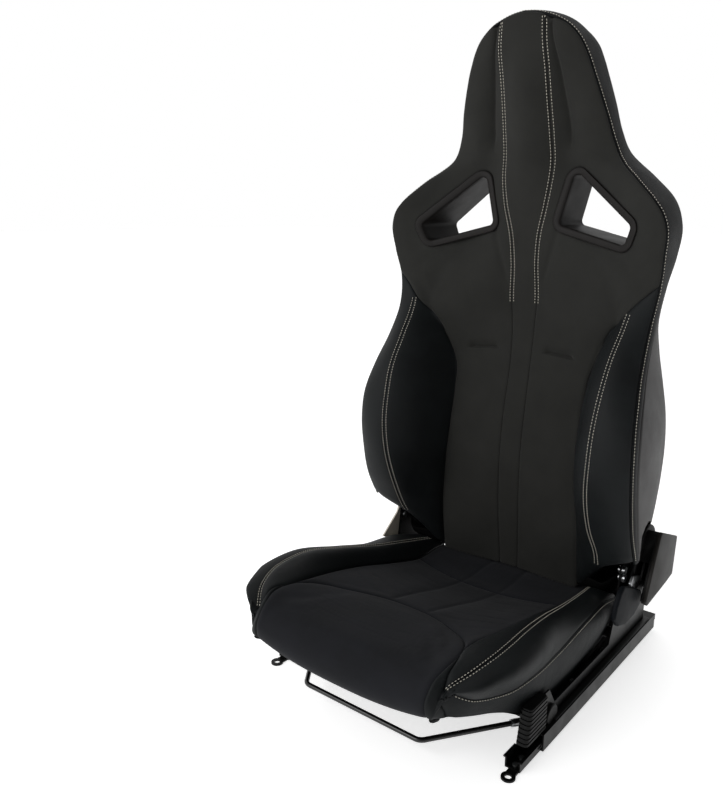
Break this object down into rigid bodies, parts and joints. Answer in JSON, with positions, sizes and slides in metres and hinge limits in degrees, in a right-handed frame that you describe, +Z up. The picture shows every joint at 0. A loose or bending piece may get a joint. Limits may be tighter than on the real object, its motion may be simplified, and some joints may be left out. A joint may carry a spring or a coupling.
{
  "type": "reclining bucket seat",
  "caption": "Reclining sport bucket seat with bolstered cushions, hard back shell, harness openings, recline lever and sliding floor rails.",
  "frame": {"origin": "centre of the four floor bolts, on the floor under the rail feet", "axes": "+Z up, -Y the way the seated person faces, +X the seated person's left, the side with the recline lever"},
  "size_m": [0.538, 0.6579, 1.089],
  "materials": {
    "rail_paint": "satin",
    "bar_paint": "satin",
    "zinc_steel": "satin",
    "black_plastic": "matte",
    "cover_plastic": "matte",
    "shell_plastic": "matte",
    "bezel_plastic": "matte",
    "bolster_leather": "satin",
    "center_fabric": "matte"
  },
  "bodies": {
    "base": {"lower_rail_left": "rail_paint", "lower_rail_right": "rail_paint", "front_feet": "rail_paint", "rear_feet": "rail_paint", "foot_rivets": "zinc_steel"},
    "roller_carrier": {"roller_cages": "black_plastic", "rail_rollers": "zinc_steel"},
    "carriage": {"upper_rail_left": "rail_paint", "upper_rail_right": "rail_paint", "rail_end_caps": "black_plastic", "side_member_left": "rail_paint", "side_member_right": "rail_paint", "member_bolts": "zinc_steel", "arm_bolts": "zinc_steel", "front_cross_tube": "rail_paint", "rear_cross_tube": "rail_paint", "seat_pan": "rail_paint", "bar_pivot_pins": "black_plastic", "fixed_disc_left": "zinc_steel", "fixed_disc_right": "zinc_steel", "recliner_cover": "cover_plastic", "hinge_bracket": "zinc_steel", "cushion_bolster_left": "bolster_leather", "cushion_bolster_right": "bolster_leather", "cushion_front": "center_fabric", "cushion_center": "center_fabric"},
    "release_bar": {"release_bar": "bar_paint", "lock_lever_left": "zinc_steel", "lock_lever_right": "zinc_steel", "bar_sockets": "zinc_steel"},
    "backrest": {"moving_disc_left": "zinc_steel", "moving_disc_right": "zinc_steel", "back_arm_left": "rail_paint", "back_arm_right": "rail_paint", "lower_back_tube": "rail_paint", "upper_back_tube": "rail_paint", "head_hoop": "rail_paint", "lumbar_wires": "zinc_steel", "back_shell": "shell_plastic", "back_bolster_left": "bolster_leather", "back_bolster_right": "bolster_leather", "back_center_strip": "center_fabric", "back_panel_left": "center_fabric", "back_panel_right": "center_fabric", "head_pad": "center_fabric", "head_wing_left": "bolster_leather", "head_wing_right": "bolster_leather", "harness_bezel_left": "bezel_plastic", "harness_bezel_right": "bezel_plastic"},
    "recline_lever": {"recline_rod": "zinc_steel", "lever_arm": "rail_paint", "lever_grip": "cover_plastic"}
  },
  "joints": [
    {"name": "seat_slide", "type": "slide", "parent": "base", "child": "carriage", "axis": [0, 1, 0], "range_m": [-0.06, 0.14]},
    {"name": "roller_travel", "type": "slide", "parent": "base", "child": "roller_carrier", "axis": [0, 1, 0], "range_m": [-0.03, 0.07]},
    {"name": "bar_lift", "type": "hinge", "parent": "carriage", "child": "release_bar", "pos_m": [0, -0.107, 0.042], "axis": [1, 0, 0], "range_deg": [-9, 0], "stiffness_Nm_per_rad": 6, "springref_deg": 6.88},
    {"name": "back_recline", "type": "hinge", "parent": "carriage", "child": "backrest", "pos_m": [0, 0.225, 0.205], "axis": [1, 0, 0], "range_deg": [-55, 6]},
    {"name": "lever_lift", "type": "hinge", "parent": "carriage", "child": "recline_lever", "pos_m": [0, 0.225, 0.205], "axis": [1, 0, 0], "range_deg": [-12, 0], "stiffness_Nm_per_rad": 6, "springref_deg": 6.88}
  ],
  "couplings": [
    {"joint": "roller_travel", "follows": "seat_slide", "ratio": 0.5}
  ]
}
